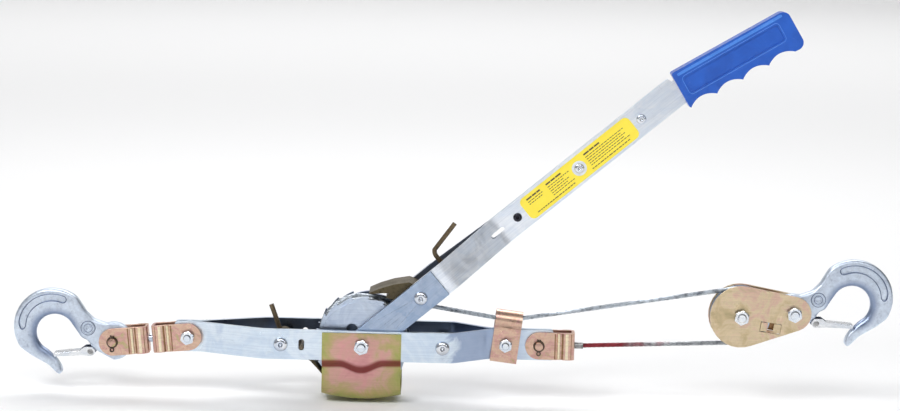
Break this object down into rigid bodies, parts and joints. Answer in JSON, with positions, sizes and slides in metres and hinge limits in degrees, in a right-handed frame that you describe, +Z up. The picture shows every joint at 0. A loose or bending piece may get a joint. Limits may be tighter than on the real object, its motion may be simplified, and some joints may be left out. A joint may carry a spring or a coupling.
{
  "type": "come along winch",
  "caption": "Hand cable puller: ratchet cable drum in a steel strap frame, long lever handle with moulded grip, pulley block and swivel slip hooks with latches.",
  "frame": {"origin": "the bowl of the anchor hook, on the centre plane, where the winch is held", "axes": "+X along the pull towards the load hook, +Z up, the viewer on the -Y side"},
  "size_m": [0.9322, 0.085, 0.4193],
  "materials": {
    "zinc_steel": "bright zinc plate, slightly blue",
    "gold_zinc": "yellow zinc plate with a pink and green sheen",
    "forged_zinc": "zinc-plated rough forging",
    "brown_zinc": "dark brown plating",
    "black_rivet": "blackened",
    "wire_rope": "galvanised strands",
    "red_rope": "dark red paint on strands",
    "blue_plastic": "moulded, half gloss",
    "yellow_label": "film, half gloss"
  },
  "bodies": {
    "frame": {"frame_bar_front": "zinc_steel", "frame_bar_rear": "zinc_steel", "stop_pawl_rivet": "zinc_steel", "spacer_rivet": "zinc_steel", "drum_shaft": "zinc_steel", "shaft_nut": "zinc_steel", "drum_guard": "gold_zinc", "cable_guide": "gold_zinc", "guide_bolt": "zinc_steel", "guide_nut": "zinc_steel", "spring_anchor_pin": "zinc_steel", "frame_end_bolt": "zinc_steel", "frame_end_nut": "zinc_steel", "cable_drum_to_guide": "wire_rope"},
    "drum": {"drum_core": "zinc_steel", "ratchet_wheel_front": "zinc_steel", "ratchet_wheel_rear": "zinc_steel", "cable_on_drum": "wire_rope"},
    "handle": {"handle_strap_front": "zinc_steel", "handle_strap_rear": "zinc_steel", "handle_doubler_front": "zinc_steel", "handle_doubler_rear": "zinc_steel", "drive_pawl_rivet": "zinc_steel", "lower_rivet": "black_rivet", "middle_rivet": "zinc_steel", "upper_rivet": "zinc_steel", "handle_label": "yellow_label", "handle_grip": "blue_plastic"},
    "drive_pawl": {"drive_pawl": "brown_zinc", "drive_pawl_spring": "zinc_steel"},
    "drive_lever": {"drive_lever": "brown_zinc"},
    "stop_pawl": {"stop_pawl": "brown_zinc", "stop_pawl_lever": "brown_zinc", "stop_pawl_spring": "zinc_steel"},
    "anchor_bracket": {"anchor_bracket": "gold_zinc", "swivel_rivet": "zinc_steel"},
    "anchor_clevis": {"hook_bracket": "gold_zinc", "anchor_hook_pin": "zinc_steel", "anchor_hook_cotter": "zinc_steel"},
    "anchor_hook": {"anchor_hook": "forged_zinc"},
    "anchor_latch": {"anchor_latch": "forged_zinc"},
    "dead_end_clevis": {"dead_end_bracket": "gold_zinc", "dead_end_pin": "zinc_steel", "dead_end_cotter": "zinc_steel", "cable_stop": "zinc_steel"},
    "load_block": {"block_plate_front": "gold_zinc", "block_plate_rear": "gold_zinc", "block_axle": "zinc_steel", "block_axle_nut": "zinc_steel", "block_hook_bolt": "zinc_steel", "block_hook_bolt_nut": "zinc_steel", "cable_guide_to_block": "wire_rope", "cable_on_sheave": "wire_rope", "cable_block_to_anchor": "red_rope"},
    "sheave": {"sheave": "zinc_steel"},
    "load_hook": {"load_hook": "forged_zinc"},
    "load_latch": {"load_latch": "forged_zinc"}
  },
  "joints": [
    {"name": "drum_spin", "type": "hinge", "parent": "frame", "child": "drum", "pos_m": [0.348, 0, 0], "axis": [0, -1, 0], "range_deg": [-3380, 260]},
    {"name": "handle_swing", "type": "hinge", "parent": "frame", "child": "handle", "pos_m": [0.348, 0, 0], "axis": [0, -1, 0], "range_deg": [-2, 100]},
    {"name": "drive_pawl_pivot", "type": "hinge", "parent": "handle", "child": "drive_pawl", "pos_m": [0.40892, 0, 0.05185], "axis": [0, -1, 0], "range_deg": [-24, 2], "stiffness_Nm_per_rad": 1},
    {"name": "drive_lever_pivot", "type": "hinge", "parent": "handle", "child": "drive_lever", "pos_m": [0.43786, 0, 0.07648], "axis": [0, -1, 0], "range_deg": [-50, 0]},
    {"name": "stop_pawl_pivot", "type": "hinge", "parent": "frame", "child": "stop_pawl", "pos_m": [0.263, 0, 0], "axis": [0, -1, 0], "range_deg": [-24, 3.4], "stiffness_Nm_per_rad": 1},
    {"name": "anchor_bracket_pivot", "type": "hinge", "parent": "frame", "child": "anchor_bracket", "pos_m": [0.1625, 0, 0], "axis": [0, -1, 0], "range_deg": [-60, 60]},
    {"name": "anchor_swivel", "type": "hinge", "parent": "anchor_bracket", "child": "anchor_clevis", "pos_m": [0.12248, 0, -0.00385], "axis": [-0.9954, 0, -0.0958], "range_deg": [-180, 180]},
    {"name": "anchor_hook_pivot", "type": "hinge", "parent": "anchor_clevis", "child": "anchor_hook", "pos_m": [0.08247, 0, -0.00771], "axis": [0, -1, 0], "range_deg": [-45, 45]},
    {"name": "anchor_latch_pivot", "type": "hinge", "parent": "anchor_hook", "child": "anchor_latch", "pos_m": [0.05875, 0, -0.01872], "axis": [0, -1, 0], "range_deg": [-38, 0], "stiffness_Nm_per_rad": 0.06, "springref_deg": 8.59},
    {"name": "dead_end_pivot", "type": "hinge", "parent": "frame", "child": "dead_end_clevis", "pos_m": [0.5352, 0, 0], "axis": [0, -1, 0], "range_deg": [-8, 8]},
    {"name": "block_travel", "type": "slide", "parent": "frame", "child": "load_block", "axis": [1, 0, 0], "range_m": [-0.10003, 1.29803], "deforming": ["cable_guide_to_block", "cable_block_to_anchor"]},
    {"name": "sheave_spin", "type": "hinge", "parent": "load_block", "child": "sheave", "pos_m": [0.7483, 0, 0.0371], "axis": [0, -1, 0], "range_deg": [-2521.68, 194.9]},
    {"name": "load_hook_pivot", "type": "hinge", "parent": "load_block", "child": "load_hook", "pos_m": [0.804, 0, 0.0415], "axis": [0, -1, 0], "range_deg": [-45, 45]},
    {"name": "load_latch_pivot", "type": "hinge", "parent": "load_hook", "child": "load_latch", "pos_m": [0.82826, 0, 0.03172], "axis": [0, -1, 0], "range_deg": [0, 38], "stiffness_Nm_per_rad": 0.06, "springref_deg": -8.59}
  ],
  "couplings": [
    {"joint": "block_travel", "follows": "drum_spin", "m_per_rad": -0.022},
    {"joint": "sheave_spin", "follows": "drum_spin", "ratio": 0.74576}
  ]
}
